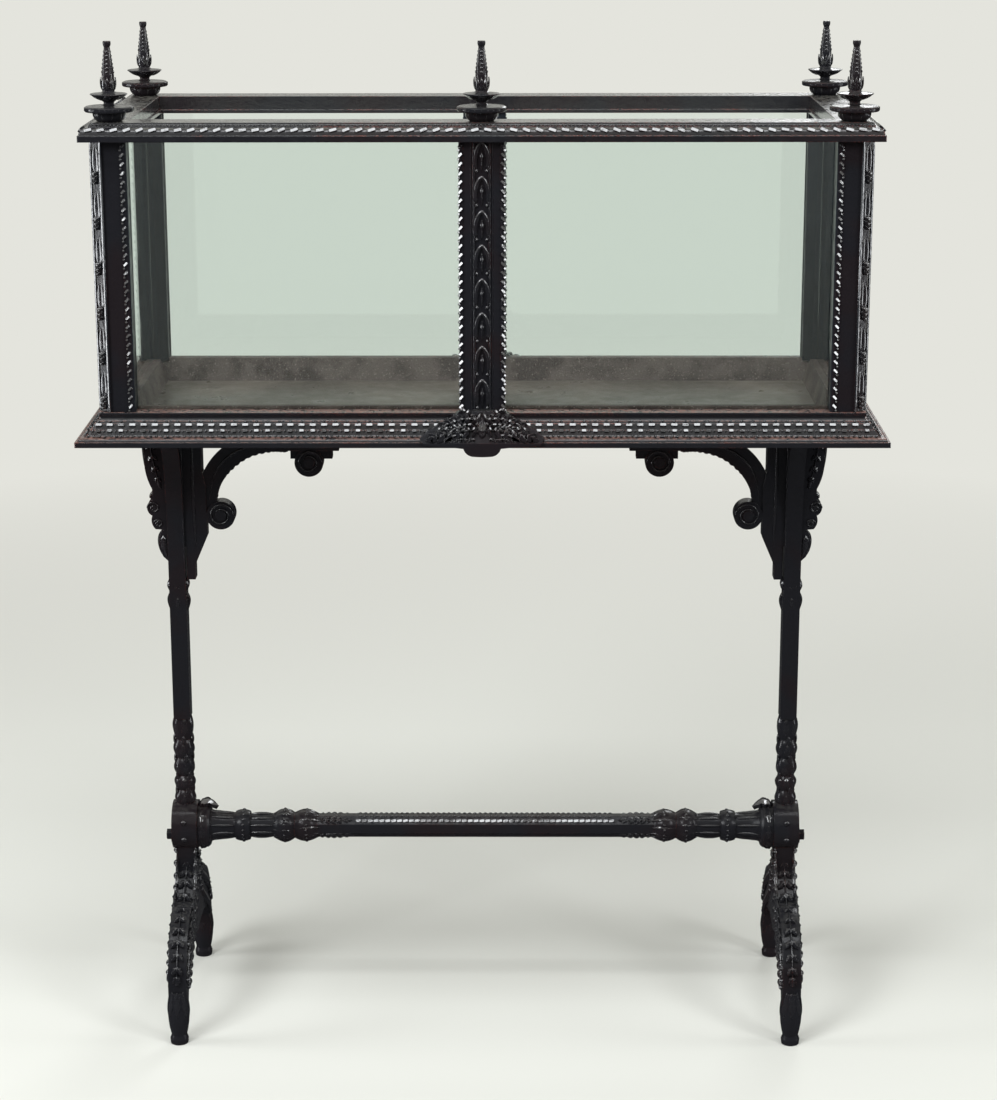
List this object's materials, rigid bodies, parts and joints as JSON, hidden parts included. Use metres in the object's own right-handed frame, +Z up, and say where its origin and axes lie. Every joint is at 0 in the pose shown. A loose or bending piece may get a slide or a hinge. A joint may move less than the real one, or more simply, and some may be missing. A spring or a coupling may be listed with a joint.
{
  "type": "wardian case on stand",
  "caption": "Open-topped glazed fern case with cast iron posts, moulded rails and finials, on a stand of splayed end frames joined by a turned stretcher.",
  "frame": {"origin": "on the floor, under the middle of the case", "axes": "+X along the width to the viewer's right, +Y to the back, +Z up"},
  "size_m": [0.914, 0.3996, 1.2],
  "materials": {
    "black_enamel": "cast iron under gloss black enamel, worn at edges",
    "painted_steel": "steel fasteners painted black",
    "pane_glass": "old drawn glass with a faint green tint",
    "bedding_cement": "rough brown-grey bedding cement",
    "bed_iron": "bare plate, dusty grey-brown"
  },
  "bodies": {
    "root": {"end_frame_right": "black_enamel", "end_frame_left": "black_enamel", "stretcher": "black_enamel", "scroll_bracket_left": "black_enamel", "scroll_bracket_right": "black_enamel", "tray_rail_back": "black_enamel", "tray_rail_left": "black_enamel", "tray_rail_front": "black_enamel", "tray_rail_right": "black_enamel", "corner_post_back_right": "black_enamel", "corner_post_back_left": "black_enamel", "corner_post_front_left": "black_enamel", "corner_post_front_right": "black_enamel", "centre_post_back": "black_enamel", "centre_post_front": "black_enamel", "top_rail_back": "black_enamel", "top_rail_left": "black_enamel", "top_rail_front": "black_enamel", "top_rail_right": "black_enamel", "finial_back_right": "black_enamel", "finial_back_left": "black_enamel", "finial_front_left": "black_enamel", "finial_front_right": "black_enamel", "finial_front_middle": "black_enamel", "cartouche_back": "black_enamel", "cartouche_front": "black_enamel", "finial_stud_back": "painted_steel", "foot_bolts": "painted_steel", "head_bolts": "painted_steel", "bracket_screws": "painted_steel", "bracket_bolts": "painted_steel", "stretcher_bolts": "painted_steel", "glass_front_left": "pane_glass", "glass_front_right": "pane_glass", "glass_back_left": "pane_glass", "glass_back_right": "pane_glass", "glass_end_left": "pane_glass", "glass_end_right": "pane_glass", "seal_back": "bedding_cement", "seal_left": "bedding_cement", "seal_front": "bedding_cement", "seal_right": "bedding_cement", "bed_plate": "bed_iron"}
  },
  "joints": []
}
